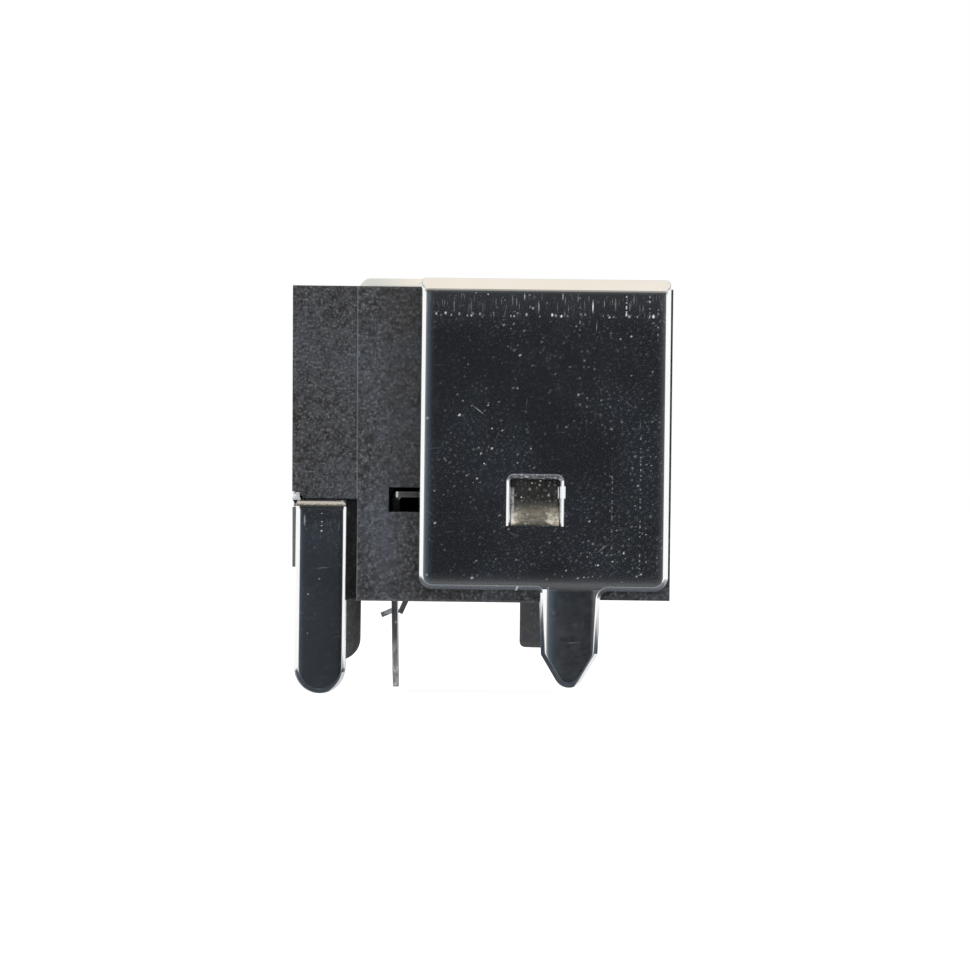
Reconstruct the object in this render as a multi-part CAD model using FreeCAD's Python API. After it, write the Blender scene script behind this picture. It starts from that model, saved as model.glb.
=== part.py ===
import FreeCAD, Part
import math
import os

# Shielded right-angle dc barrel jack for through-hole boards.
# Millimetres. Z = 0 is the board face, +X points out of the socket mouth, +Z is up,
# and the origin is below the middle of the housing. The legs reach below Z = 0.

# Clearances
seat_gap = 0.02
rivet_gap = 0.01
slide_gap = 0.05

# Housing block
housing_length = 13.2
housing_width = 9.0
housing_height = 11.0
rear_draft_deg = 0.5
rear_block_length = 2.25
rear_block_inset = 0.04
rear_wall = 2.6
edge_break = 0.1
foot_length = 9.7
front_relief = 0.12
rear_notch_length = 0.5
rear_notch_height = 1.15

# Socket
axis_height = 6.5
bore_radius = 3.1
mouth_radius = 3.3
mouth_depth = 0.9
mouth_chamfer = 0.25

# Locating pegs
peg_radius = 0.8
rear_peg_from_rear = 1.5
rear_peg_length = 2.2
front_peg_from_leaf = 1.36
front_peg_length = 1.65
front_peg_round = 0.2

# Centre pin
pin_radius = 1.0
pin_setback = 1.0
pin_tip_round = 0.45
collar_radius = 1.35
collar_thickness = 0.8
collar_sink = 0.4
collar_chamfer = 0.1
tail_radius = 0.7
flare_radius = 1.0
flare_depth = 0.16

# Centre terminal, one folded strip
terminal_thickness = 0.27
terminal_bend = 0.1
terminal_leg_bend = 0.03
terminal_proud = 0.04
eye_radius = 1.9
shelf_top = 3.54
shelf_width = 1.85
arm_height = 0.5
arm_root_width = 0.7
terminal_leg_width = 1.8
terminal_leg_from_rear = 0.11
terminal_leg_length = 3.25
terminal_leg_proud = 0.2
terminal_leg_recess = 0.36
terminal_edge_roll = 0.2

# Sleeve contact, one folded strip
contact_thickness = 0.2
contact_bend = 0.1
contact_from_bore_floor = 0.79
contact_top = 3.83
lug_inset = 0.2
far_lug_reach = 3.3
lug_height = 0.66
lug_length = 1.25
flange_width = 4.1
flange_bottom = 0.5
contact_leg_width = 2.0
contact_leg_length = 3.1
contact_leg_lean_deg = 1.4
contact_tip_width = 0.9
contact_tip_height = 0.6
leaf_width = 2.4
leaf_dip = 0.36
leaf_dip_from_lug = 0.85
leaf_crest_height = 3.98
leaf_crest_from_lug = 1.9
leaf_end_from_lug = 2.75
leaf_end_drop = 0.5
clinch_width = 0.7
clinch_thickness = 0.18
hook_step = 0.45
hook_shoulder = 0.22
hook_reach = 0.46
hook_return = 0.21
tail_straight = 0.38
tail_reach = 0.6
tail_step = 0.5

# Shield, one folded sheet
sheet_thickness = 0.3
sheet_bend = 0.12
shield_length = 8.73
shield_setback = 0.07
shield_bottom = 0.43
shield_corner = 0.52
sheet_edge_roll = 0.2
shield_leg_from_front = 3.485
shield_leg_root = 2.16
shield_leg_waist = 1.98
shield_leg_shoulder = 1.8
shield_leg_length = 2.95
shield_leg_taper_deg = 30.8
shield_leg_front_root = 0.3
shield_leg_rear_root = 0.1
tongue_width = 6.0
tongue_reach = 1.98
tongue_bend_deg = 52
tongue_bend = 0.08
tongue_drop = 0.95

# Latch tab, lanced from each side of the shield
tab_window_from_front = 4.738
tab_window_width = 1.73
tab_window_bottom = 2.68
tab_window_height = 1.66
tab_window_round = 0.12
tab_side_gap = 0.02
tab_top_gap = 0.06
tab_offset = 0.42
tab_straight = 0.06
tab_ramp = 0.46
tab_low_bend = 0.06
tab_high_bend = 0.9

# How close two places have to be to count as one, and how far a cutting block overshoots
same = 1e-6
over = 1.0

# Derived places
front_x = housing_length / 2
rear_x = -housing_length / 2
side_y = housing_width / 2
bore_floor_x = rear_x + rear_wall
lean = math.tan(math.radians(rear_draft_deg))
pocket_x = rear_x - terminal_proud + terminal_thickness
terminal_back_x = rear_x - terminal_proud
shelf_bottom = shelf_top - terminal_thickness
arm_top = shelf_bottom + arm_height
leg_rear_x = rear_x + terminal_leg_from_rear
leg_front_x = leg_rear_x + terminal_leg_width
leg_outer_y = -side_y - terminal_leg_proud
arm_y = leg_outer_y + terminal_thickness + terminal_leg_bend
shelf_end_y = arm_y + shelf_width
rear_peg_x = rear_x + rear_peg_from_rear
contact_back_x = bore_floor_x + contact_from_bore_floor
contact_mid_x = contact_back_x + contact_thickness / 2
contact_mid_z = contact_top - contact_thickness / 2
lug_front_x = contact_back_x + lug_length
lug_y = side_y - lug_inset
leaf_end_x = lug_front_x + leaf_end_from_lug
front_peg_x = leaf_end_x + front_peg_from_leaf
clinch_back_x = contact_mid_x - tail_step
clinch_y = flange_width / 2 - clinch_width
cavity_half = flange_width / 2 + clinch_width / 2 + slide_gap
shield_front_x = front_x - shield_setback
shield_rear_x = shield_front_x - shield_length
sheet_inner_y = side_y + seat_gap
sheet_outer_y = sheet_inner_y + sheet_thickness
sheet_inner_z = housing_height + seat_gap
sheet_outer_z = sheet_inner_z + sheet_thickness
shield_leg_x = front_x - shield_leg_from_front
tab_window_x = front_x - tab_window_from_front
tongue_bend_x = shield_rear_x - tongue_reach
tongue_lean = math.tan(math.radians(90 - tongue_bend_deg))


def vec(x, y, z):
    return FreeCAD.Vector(x, y, z)


def box(x0, x1, y0, y1, z0, z1):
    return Part.makeBox(x1 - x0, y1 - y0, z1 - z0, vec(x0, y0, z0))


def rod(radius, x0, x1):
    # A cylinder on the socket's axis
    return Part.makeCylinder(radius, x1 - x0, vec(x0, 0, axis_height), vec(1, 0, 0))


def in_xz(y):
    return lambda u, v: vec(u, y, v)


def in_yz(x):
    return lambda u, v: vec(x, u, v)


def outline(points, place):
    corners = [place(*p) for p in points]
    return Part.Face(Part.makePolygon(corners + corners[:1]))


def prism(points, place, run):
    return outline(points, place).extrude(run)


def strip_face(points, thickness, place):
    # The section of a folded sheet along its middle line. An inner point has its inside
    # bend radius as a third number
    mid = [vec(*p[:2], 0) for p in points]
    bends = [p[2] for p in points[1:-1]]
    runs = [(b - a).normalize() for a, b in zip(mid, mid[1:])]
    edges = []
    ends = []
    for side in (1, -1):
        at = offset(mid[0], runs[0], side * thickness / 2)
        ends.append(at)
        for corner, bend, before, after in zip(mid[1:-1], bends, runs, runs[1:]):
            cross = before.x * after.y - before.y * after.x
            turn = math.atan2(cross, before.dot(after))
            hand = math.copysign(1, turn)
            middle = bend + thickness / 2
            back = middle * math.tan(abs(turn) / 2)
            start = corner - before * back
            centre = offset(start, before, hand * middle)
            first = offset(start, before, side * thickness / 2)
            last = offset(corner + after * back, after, side * thickness / 2)
            outward = (corner - centre).normalize()
            crown = centre + outward * (middle - side * hand * thickness / 2)
            add_line(edges, at, first, place)
            through = [place(p.x, p.y) for p in (first, crown, last)]
            edges.append(Part.Arc(*through).toShape())
            at = last
        end = offset(mid[-1], runs[-1], side * thickness / 2)
        add_line(edges, at, end, place)
        ends.append(end)
    add_line(edges, ends[0], ends[2], place)
    add_line(edges, ends[1], ends[3], place)
    return Part.Face(Part.Wire(Part.__sortEdges__(edges)))


def add_line(edges, a, b, place):
    if (b - a).Length > same:
        edges.append(Part.makeLine(place(a.x, a.y), place(b.x, b.y)))


def offset(point, run, distance):
    # The point moved square to the run, to its left where the distance is positive
    return point + vec(-run.y, run.x, 0) * distance


def edges_where(shape, test):
    chosen = []
    for edge in shape.Edges:
        low, high = edge.ParameterRange
        spots = [edge.valueAt(low + (high - low) * share) for share in (0, 0.5, 1)]
        if all(test(spot) for spot in spots):
            chosen.append(edge)
    return chosen


def mirrored(shape):
    return shape.mirror(vec(0, 0, 0), vec(0, 1, 0))


def save(shape, name):
    solid = shape.removeSplitter()
    if len(solid.Solids) != 1 or not solid.isValid():
        raise ValueError(f"{name} is not one valid solid")
    solid.Solids[0].exportStep(f"parts/{name}.step")


def terminal_plate(x0, x1, grow):
    # The plate behind the housing that carries the centre pin, with an arm to the near side
    eye = rod(eye_radius + grow, x0, x1)
    low = shelf_bottom - grow
    high = arm_top + grow
    left = -eye_radius - grow
    right = eye_radius + grow
    stem = prism([(left, axis_height), (left, high + arm_root_width),
                  (left - arm_root_width, high), (arm_y - grow, high),
                  (arm_y - grow, low), (right, low), (right, axis_height)],
                 in_yz(x0), vec(x1 - x0, 0, 0))
    return eye.fuse(stem)


def housing_block():
    side = [(rear_x, 0), (front_x, 0), (front_x, housing_height),
            (rear_x - lean * housing_height, housing_height)]
    block = prism(side, in_xz(-side_y), vec(0, housing_width, 0))
    long_edges = edges_where(block, lambda p: abs(abs(p.y) - side_y) < same
                             and p.z > housing_height - same)
    block = block.makeFillet(edge_break, long_edges)
    # The rear block stands a hair inside the body, which leaves a witness line on each side
    rear = [(rear_x - over, -over), (rear_x + rear_block_length, -over),
            (rear_x + rear_block_length - lean * (housing_height + over), housing_height + over),
            (rear_x - over, housing_height + over)]
    for y in (-side_y - over, side_y - rear_block_inset):
        block = block.cut(prism(rear, in_xz(y), vec(0, over + rear_block_inset, 0)))
    relief = box(rear_x + foot_length, front_x + over, -side_y - over, side_y + over, -over, front_relief)
    notch = box(rear_x - over, rear_x + rear_notch_length, -side_y - over, side_y + over,
                -over, rear_notch_height)
    return block.cut(relief).cut(notch)


def socket_bore():
    bore = rod(bore_radius, bore_floor_x, front_x + over)
    mouth = rod(mouth_radius, front_x - mouth_depth, front_x + over)
    flare = Part.makeCone(mouth_radius, mouth_radius + 2 * mouth_chamfer, 2 * mouth_chamfer,
                          vec(front_x - mouth_chamfer, 0, axis_height), vec(1, 0, 0))
    collar = rod(collar_radius + seat_gap, bore_floor_x - collar_sink, bore_floor_x + over)
    tail = rod(tail_radius + seat_gap, rear_x - over, bore_floor_x)
    return bore.fuse([mouth, flare, collar, tail])


def contact_cavity():
    # The room under the plug for the sleeve contact, open through the floor
    room_top = axis_height - math.sqrt(bore_radius ** 2 - cavity_half ** 2)
    room = box(contact_back_x - slide_gap, leaf_end_x + 4 * slide_gap,
               -cavity_half, cavity_half, -over, room_top)
    slot_bottom = contact_top - lug_height - slide_gap
    slot_top = contact_top + 3 * slide_gap
    slot = box(contact_back_x - slide_gap, lug_front_x + 4 * slide_gap,
               -side_y - over, far_lug_reach + slide_gap, slot_bottom, slot_top)
    clinch = box(clinch_back_x - 2 * slide_gap, contact_mid_x, clinch_y - slide_gap,
                 cavity_half, -over, flange_bottom)
    return room.fuse([slot, clinch])


def terminal_seat():
    # The shallow pocket behind, the notch for the arm, the shelf's slot, the leg's recess
    # and room for the inside of the fold
    gap = seat_gap
    behind = rear_x - housing_length
    pocket = terminal_plate(behind, pocket_x + gap, gap)
    notch = box(behind, pocket_x + gap, -side_y - over, arm_y + gap, 0, arm_top + gap)
    slot = box(behind, leg_front_x + gap, -side_y - over, shelf_end_y + gap,
               shelf_bottom - gap, shelf_top + gap)
    recess = box(behind, rear_x + rear_block_length, -side_y - over,
                 -side_y + terminal_leg_recess, -over, shelf_top + gap)
    relief = box(pocket_x, pocket_x + terminal_bend, -side_y - over, shelf_end_y + gap,
                 shelf_top, shelf_top + terminal_bend)
    return pocket.fuse([notch, slot, recess, relief])


def latch_pocket():
    gap = seat_gap
    depth = seat_gap + tab_offset + sheet_thickness
    wide = tab_window_width / 2 + gap
    high = tab_window_bottom + tab_window_height - tab_top_gap + gap
    return box(tab_window_x - wide, tab_window_x + wide, -side_y - over,
               -side_y + depth, tab_window_bottom - gap, high)


def tongue_slot():
    # A slot that leans as the tongue does, as wide as the sheet and a gap on each side
    gap = slide_gap
    level = sheet_thickness + gap
    across = math.hypot(1, tongue_lean)
    low = sheet_outer_z - tongue_drop - level
    high = housing_height + over
    outer = [(tongue_bend_x - (sheet_outer_z - z) * tongue_lean - gap * across, z)
             for z in (low, high)]
    inner = [(tongue_bend_x - (sheet_outer_z - z) * tongue_lean + level * across, z)
             for z in (high, low)]
    return prism(outer + inner, in_xz(-tongue_width / 2 - gap),
                 vec(0, tongue_width + 2 * gap, 0))


def rear_peg():
    straight = rear_peg_length - peg_radius
    peg = Part.makeCylinder(peg_radius, straight + front_relief, vec(rear_peg_x, 0, -straight))
    nose = Part.makeSphere(peg_radius, vec(rear_peg_x, 0, -straight))
    return peg.fuse(nose)


def front_peg():
    peg = Part.makeCylinder(peg_radius, front_peg_length + front_relief,
                            vec(front_peg_x, 0, -front_peg_length))
    low = edges_where(peg, lambda p: abs(p.z + front_peg_length) < same)
    return peg.makeFillet(front_peg_round, low)


def housing():
    body = housing_block().cut(socket_bore()).cut(contact_cavity()).cut(terminal_seat())
    body = body.cut(latch_pocket()).cut(mirrored(latch_pocket())).cut(tongue_slot())
    return body.fuse([rear_peg(), front_peg()])


def centre_pin():
    tip_x = front_x - pin_setback
    collar_front = bore_floor_x - collar_sink + collar_thickness
    collar_back = bore_floor_x - collar_sink + seat_gap
    knee = 1 - math.sqrt(0.5)
    points = [(tip_x, 0), (tip_x, pin_radius - pin_tip_round)]
    tip = [(tip_x, pin_radius - pin_tip_round),
           (tip_x - knee * pin_tip_round, pin_radius - knee * pin_tip_round),
           (tip_x - pin_tip_round, pin_radius)]
    rest = [(tip_x - pin_tip_round, pin_radius), (collar_front, pin_radius),
            (collar_front, collar_radius - collar_chamfer),
            (collar_front - collar_chamfer, collar_radius), (collar_back, collar_radius),
            (collar_back, tail_radius), (terminal_back_x + flare_depth, tail_radius),
            (terminal_back_x, flare_radius), (terminal_back_x, 0), (tip_x, 0)]
    lift = lambda p: vec(p[0], 0, axis_height + p[1])
    edges = [Part.makeLine(lift(points[0]), lift(points[1]))]
    edges.append(Part.Arc(*[lift(p) for p in tip]).toShape())
    edges += [Part.makeLine(lift(a), lift(b)) for a, b in zip(rest, rest[1:])]
    half = Part.Face(Part.Wire(edges))
    return half.revolve(vec(0, 0, axis_height), vec(1, 0, 0), 360)


def centre_terminal():
    half = terminal_thickness / 2
    reach = terminal_thickness + terminal_bend
    plate = terminal_plate(terminal_back_x, terminal_back_x + terminal_thickness, 0)
    # The plate stops where its fold to the shelf starts
    plate = plate.cut(box(terminal_back_x - over, terminal_back_x + over, arm_y - over, shelf_end_y,
                          0, shelf_bottom + reach))
    hole = rod(tail_radius + rivet_gap, terminal_back_x - over, terminal_back_x + over)
    sink = Part.makeCone(flare_radius + rivet_gap, tail_radius + rivet_gap, flare_depth,
                         vec(terminal_back_x, 0, axis_height), vec(1, 0, 0))
    plate = plate.cut(hole).cut(sink)
    fold = strip_face([(terminal_back_x + half, shelf_bottom + reach),
                       (terminal_back_x + half, shelf_bottom + half, terminal_bend),
                       (leg_front_x, shelf_bottom + half)],
                      terminal_thickness, in_xz(arm_y))
    shelf = fold.extrude(vec(0, shelf_end_y - arm_y, 0))
    leg = strip_face([(shelf_end_y, shelf_bottom + half),
                      (leg_outer_y + half, shelf_bottom + half, terminal_leg_bend),
                      (leg_outer_y + half, -terminal_leg_length)],
                     terminal_thickness, in_yz(leg_rear_x))
    leg = leg.extrude(vec(terminal_leg_width, 0, 0))
    leg = leg.cut(box(leg_rear_x - over, pocket_x + terminal_bend, arm_y, shelf_end_y + over,
                      0, shelf_top + over))
    tip_middle = vec(leg_rear_x + terminal_leg_width / 2, leg_outer_y - over,
                     terminal_leg_width / 2 - terminal_leg_length)
    round_tip = Part.makeCylinder(terminal_leg_width / 2, shelf_end_y - tip_middle.y,
                                  tip_middle, vec(0, 1, 0))
    above = box(leg_rear_x - over, leg_front_x + over, tip_middle.y, shelf_end_y + over,
                tip_middle.z, shelf_top + over)
    leg = leg.common(round_tip.fuse(above))
    leg_top = shelf_bottom - terminal_leg_bend
    rolled = edges_where(leg, lambda p: abs(p.y - leg_outer_y) < same
                         and p.z < leg_top + same)
    rolled = [e for e in rolled if e.BoundBox.ZLength > same]
    leg = leg.makeFillet(terminal_edge_roll, rolled)
    return plate.fuse([shelf, leg])


def contact_leaf():
    soft = 2 * contact_bend
    start = (contact_back_x + contact_thickness + contact_bend, contact_mid_z)
    lug = (lug_front_x, contact_mid_z, soft)
    dip = (lug_front_x + leaf_dip_from_lug, contact_mid_z - leaf_dip, soft)
    crest = (lug_front_x + leaf_crest_from_lug, leaf_crest_height - contact_thickness / 2, soft)
    end = (leaf_end_x, crest[1] - leaf_end_drop)
    face = strip_face([start, lug, dip, crest, end], contact_thickness,
                      in_xz(-leaf_width / 2))
    return face.extrude(vec(0, leaf_width, 0))


def contact_clinches():
    # Two narrow tabs that come through the floor beside the leg, one bent each way
    top = flange_bottom + contact_thickness
    hook_x = contact_mid_x + hook_step
    hook = strip_face([(contact_mid_x, top), (hook_x, hook_shoulder, contact_bend),
                       (hook_x, 0, contact_bend), (hook_x - hook_return, -hook_reach)],
                      clinch_thickness, in_xz(-flange_width / 2))
    tail = strip_face([(contact_mid_x, top), (contact_mid_x, -tail_straight, contact_bend),
                       (clinch_back_x, -tail_reach)],
                      clinch_thickness, in_xz(clinch_y))
    return [f.extrude(vec(0, clinch_width, 0)) for f in (hook, tail)]


def sleeve_contact():
    # The flange folds over to the plate in the middle, and the plate reaches out at each side
    half = flange_width / 2
    fold = strip_face([(contact_mid_x, contact_top - lug_height),
                       (contact_mid_x, contact_mid_z, contact_bend),
                       (lug_front_x, contact_mid_z)],
                      contact_thickness, in_xz(-half))
    fold = fold.extrude(vec(0, flange_width, 0))
    wings = [box(contact_back_x + contact_thickness, lug_front_x, y0, y1,
                 contact_top - contact_thickness, contact_top)
             for y0, y1 in ((-lug_y, -half), (half, far_lug_reach))]
    flange = box(contact_back_x, contact_back_x + contact_thickness, -half, half,
                 flange_bottom, contact_top - lug_height)
    return fold.fuse(wings + [flange, contact_leg(), contact_leaf()] + contact_clinches())


def contact_leg():
    # The leg leans forward a little, from the flange's lower edge
    leg_half = contact_leg_width / 2
    tip_half = contact_tip_width / 2
    shoulder = contact_tip_height - contact_leg_length
    root = flange_bottom + contact_thickness
    leg = prism([(-leg_half, root), (-leg_half, shoulder),
                 (-tip_half, -contact_leg_length), (tip_half, -contact_leg_length),
                 (leg_half, shoulder), (leg_half, root)],
                in_yz(contact_back_x), vec(contact_thickness, 0, 0))
    leg.rotate(vec(contact_mid_x, 0, flange_bottom), vec(0, 1, 0), -contact_leg_lean_deg)
    return leg


def shield_side_outline():
    # One side of the shield with its leg, as a prism through both sides
    left = shield_leg_x - shield_leg_root / 2
    right = shield_leg_x + shield_leg_root / 2
    waist = shield_leg_waist / 2
    taper = math.radians(shield_leg_taper_deg)
    apex_z = -shield_leg_shoulder - waist / math.tan(taper)
    tip_round = (-apex_z - shield_leg_length) / (1 / math.sin(taper) - 1)
    panel = box(shield_rear_x, shield_front_x, -sheet_outer_y - over, sheet_outer_y + over,
                shield_bottom, sheet_outer_z + over)
    low = edges_where(panel, lambda p: abs(p.z - shield_bottom) < same
                      and min(abs(p.x - shield_rear_x), abs(p.x - shield_front_x)) < same)
    panel = panel.makeFillet(shield_corner, low)
    leg = prism([(left, shield_bottom + shield_corner), (left, shield_bottom),
                 (shield_leg_x - waist, -shield_leg_shoulder), (shield_leg_x, apex_z),
                 (shield_leg_x + waist, -shield_leg_shoulder), (right, shield_bottom),
                 (right, shield_bottom + shield_corner)],
                in_xz(-sheet_outer_y - over), vec(0, 2 * sheet_outer_y + 2 * over, 0))
    both = panel.fuse(leg).removeSplitter()
    corners = [(left, shield_bottom, shield_leg_rear_root),
               (right, shield_bottom, shield_leg_front_root),
               (shield_leg_x, apex_z, tip_round)]
    for x, z, size in corners:
        edge = edges_where(both, lambda p: abs(p.z - z) < same and abs(p.x - x) < same)
        both = both.makeFillet(size, edge)
    return both


def shield_tongue():
    z = sheet_outer_z - sheet_thickness / 2
    run = tongue_drop - sheet_thickness / 2
    turn = math.radians(tongue_bend_deg)
    bend_x = tongue_bend_x + math.tan(turn / 2) * sheet_thickness / 2
    face = strip_face([(shield_rear_x + sheet_thickness, z), (bend_x, z, tongue_bend),
                       (bend_x - run * tongue_lean, z - run)],
                      sheet_thickness, in_xz(-tongue_width / 2))
    return face.extrude(vec(0, tongue_width, 0))


def latch_window():
    half = tab_window_width / 2
    cut = box(tab_window_x - half, tab_window_x + half, -sheet_outer_y - over, -side_y + over,
              tab_window_bottom, tab_window_bottom + tab_window_height)
    corners = edges_where(cut, lambda p: abs(abs(p.x - tab_window_x) - half) < same
                          and p.z > tab_window_bottom + over)
    corners = [e for e in corners if e.BoundBox.YLength > same]
    return cut.makeFillet(tab_window_round, corners)


def latch_tab():
    half = tab_window_width / 2 - tab_side_gap
    y = -sheet_inner_y - sheet_thickness / 2
    bend_z = tab_window_bottom + tab_straight
    top = tab_window_bottom + tab_window_height - tab_top_gap
    face = strip_face([(y, tab_window_bottom - sheet_thickness), (y, bend_z, tab_low_bend),
                       (y + tab_offset, bend_z + tab_ramp, tab_high_bend),
                       (y + tab_offset, top)],
                      sheet_thickness, in_yz(tab_window_x - half))
    return face.extrude(vec(2 * half, 0, 0))


def shield():
    y = sheet_outer_y - sheet_thickness / 2
    z = sheet_outer_z - sheet_thickness / 2
    low = -shield_leg_length - over
    face = strip_face([(-y, low), (-y, z, sheet_bend), (y, z, sheet_bend), (y, low)],
                      sheet_thickness, in_yz(shield_rear_x))
    sheet = face.extrude(vec(shield_length, 0, 0)).common(shield_side_outline())
    window = latch_window()
    sheet = sheet.cut(window).cut(mirrored(window)).removeSplitter()
    bend_start = sheet_outer_z - sheet_thickness - sheet_bend
    rolled = edges_where(sheet, lambda p: abs(abs(p.y) - sheet_outer_y) < same
                         and p.z < bend_start + same)
    sharp = (bend_start, tab_window_bottom)
    rolled = [e for e in rolled if all(abs(e.CenterOfMass.z - z) > same for z in sharp)]
    sheet = sheet.makeFillet(sheet_edge_roll, rolled)
    tab = latch_tab()
    return sheet.fuse([shield_tongue(), tab, mirrored(tab)])


def main():
    os.makedirs("parts", exist_ok=True)
    save(housing(), "housing")
    save(centre_pin(), "centre_pin")
    save(centre_terminal(), "centre_terminal")
    save(sleeve_contact(), "sleeve_contact")
    save(shield(), "shield")


main()
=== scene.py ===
import bpy
import bmesh
import math
from mathutils import Matrix, Vector


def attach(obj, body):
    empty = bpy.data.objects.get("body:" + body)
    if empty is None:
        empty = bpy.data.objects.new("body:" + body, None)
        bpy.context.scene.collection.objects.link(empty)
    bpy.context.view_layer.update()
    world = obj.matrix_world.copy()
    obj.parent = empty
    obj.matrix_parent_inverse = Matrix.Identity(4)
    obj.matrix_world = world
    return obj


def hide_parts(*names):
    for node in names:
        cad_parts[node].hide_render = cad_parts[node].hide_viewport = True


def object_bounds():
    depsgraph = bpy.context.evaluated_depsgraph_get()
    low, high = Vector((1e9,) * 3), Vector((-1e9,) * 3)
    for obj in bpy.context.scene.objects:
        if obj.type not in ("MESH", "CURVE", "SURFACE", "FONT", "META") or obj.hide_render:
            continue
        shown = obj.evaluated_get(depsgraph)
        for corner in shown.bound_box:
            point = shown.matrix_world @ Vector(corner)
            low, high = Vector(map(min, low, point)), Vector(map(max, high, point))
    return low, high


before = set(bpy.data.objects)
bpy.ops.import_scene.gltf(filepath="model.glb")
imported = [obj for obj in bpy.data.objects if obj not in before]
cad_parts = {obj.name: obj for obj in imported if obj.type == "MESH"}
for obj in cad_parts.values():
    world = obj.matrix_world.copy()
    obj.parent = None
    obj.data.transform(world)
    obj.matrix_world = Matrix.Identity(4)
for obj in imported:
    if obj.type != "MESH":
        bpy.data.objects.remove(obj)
cadLow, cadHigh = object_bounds()
scene = bpy.context.scene
mm = 0.001
boreAxis = 6.5


# Materials: each one is a small node tree on object coordinates
class Tree:
    def __init__(self, name):
        self.material = bpy.data.materials.new(name)
        self.material.use_nodes = True
        self.nodes = self.material.node_tree.nodes
        self.links = self.material.node_tree.links
        self.nodes.clear()
        self.output = self.nodes.new("ShaderNodeOutputMaterial")
        self.where = self.nodes.new("ShaderNodeTexCoord").outputs["Object"]
        apart = self.nodes.new("ShaderNodeSeparateXYZ")
        self.links.new(self.where, apart.inputs[0])
        self.x, self.y, self.z = apart.outputs[:3]

    def node(self, kind, settings=None, **inputs):
        made = self.nodes.new("ShaderNode" + kind)
        for key, value in (settings or {}).items():
            setattr(made, key, value)
        for key, value in inputs.items():
            socket = made.inputs[int(key[1:])] if key[1:].isdigit() else made.inputs[key.replace("_", " ")]
            if isinstance(value, bpy.types.NodeSocket):
                self.links.new(value, socket)
            else:
                socket.default_value = value
        return made

    def math(self, operation, a, b=0.0, c=0.0, clamp=False):
        made = self.node("Math", {"operation": operation, "use_clamp": clamp}, i0=a, i1=b, i2=c)
        return made.outputs[0]

    def times(self, first, *others):
        for other in others:
            first = self.math("MULTIPLY", first, other)
        return first

    def strongest(self, first, *others):
        for other in others:
            first = self.math("MAXIMUM", first, other)
        return first

    def ramp(self, value, low, high, start=0.0, end=1.0):
        made = self.node("MapRange", {"clamp": True, "interpolation_type": "SMOOTHSTEP"},
                         i0=value, i1=low, i2=high, i3=start, i4=end)
        return made.outputs[0]

    def stretched(self, scale):
        return self.node("Mapping", None, Vector=self.where, Scale=scale).outputs[0]

    def noise(self, vector, scale, detail=2.0, roughness=0.5):
        made = self.node("TexNoise", None, Vector=vector, Scale=scale, Detail=detail, Roughness=roughness)
        return made.outputs["Fac"]

    def mixed(self, share, a, b):
        return self.node("Mix", {"data_type": "RGBA"}, i0=share, i6=a, i7=b).outputs[2]

    def bump(self, height, distance, strength=1.0):
        return self.node("Bump", None, Height=height, Distance=distance, Strength=strength).outputs[0]

    def facing(self):
        # Which way the surface itself looks
        return self.node("SeparateXYZ", None, i0=self.node("NewGeometry").outputs["Normal"]).outputs

    def away(self):
        return self.node("VectorMath", {"operation": "LENGTH"}, i0=self.where).outputs["Value"]

    def finish(self, shader):
        self.links.new(shader, self.output.inputs["Surface"])
        return self.material


def surfacePlane(tree):
    # Two coordinates that run along side, top and end faces alike
    u = tree.math("MULTIPLY_ADD", tree.y, 0.37, tree.x)
    v = tree.math("MULTIPLY_ADD", tree.y, 0.93, tree.z)
    return tree.node("CombineXYZ", None, X=u, Y=v).outputs[0]


def marks(tree, plane, pitch, reach, share, weight, stretch=1.0, turnDeg=0.0, move=0.0):
    # Soft specks, or scratches where stretched: one in each chosen cell, most of them faint
    spread = tree.node("Mapping", {"vector_type": "TEXTURE"}, Vector=plane, Location=(move, move * 0.7, 0),
                       Rotation=(0, 0, math.radians(turnDeg)), Scale=(stretch, 1, 1)).outputs[0]
    found = tree.node("TexVoronoi", {"voronoi_dimensions": "2D"}, Vector=spread, Scale=1 / (pitch * mm))
    chosen = tree.node("SeparateColor", None, Color=found.outputs["Color"]).outputs
    keep = tree.math("GREATER_THAN", chosen[0], 1 - share)
    radius = tree.math("MULTIPLY_ADD", chosen[1], 0.8 * reach / pitch, 0.6 * reach / pitch)
    spot = tree.ramp(tree.math("DIVIDE", found.outputs["Distance"], radius), 0.0, 1.0, 1.0, 0.0)
    rare = tree.math("POWER", tree.math("MAXIMUM", chosen[2], 0.003), -0.667)
    return tree.times(keep, spot, tree.math("MINIMUM", tree.times(rare, weight), 0.85))


def fallOff(tree, distance, reach, start):
    # start at the edge, fading over reach
    share = tree.math("DIVIDE", tree.math("MAXIMUM", distance, 0.0), -reach * mm)
    return tree.times(tree.math("POWER", 2.718, share), start)


def inside(tree, value, low, high, soft):
    up = tree.ramp(value, (low - soft) * mm, (low + soft) * mm)
    return tree.times(up, tree.ramp(value, (high - soft) * mm, (high + soft) * mm, 1.0, 0.0))


def area(tree, across, up, softAcross, softUp, weight=1.0):
    # A soft-edged patch on the sides, from x to x and from z to z
    return tree.times(inside(tree, tree.x, *across, softAcross), inside(tree, tree.z, *up, softUp), weight)


def streak(tree, x, low, high, width, dash, move):
    # One upright line of dashes on the sides
    off = tree.math("ABSOLUTE", tree.math("SUBTRACT", tree.x, x * mm))
    line = tree.ramp(off, width * 0.4 * mm, width * mm, 1.0, 0.0)
    beads = tree.noise(tree.node("CombineXYZ", None, X=move, Z=tree.z).outputs[0], 1 / (dash * mm), 1.0)
    return tree.times(line, tree.ramp(beads, 0.5, 0.6), inside(tree, tree.z, low, high, 0.05))


def onSides(tree):
    # One where a face looks straight out to either side
    return tree.ramp(tree.math("ABSOLUTE", tree.facing()[1]), 0.93, 0.995)


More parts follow.
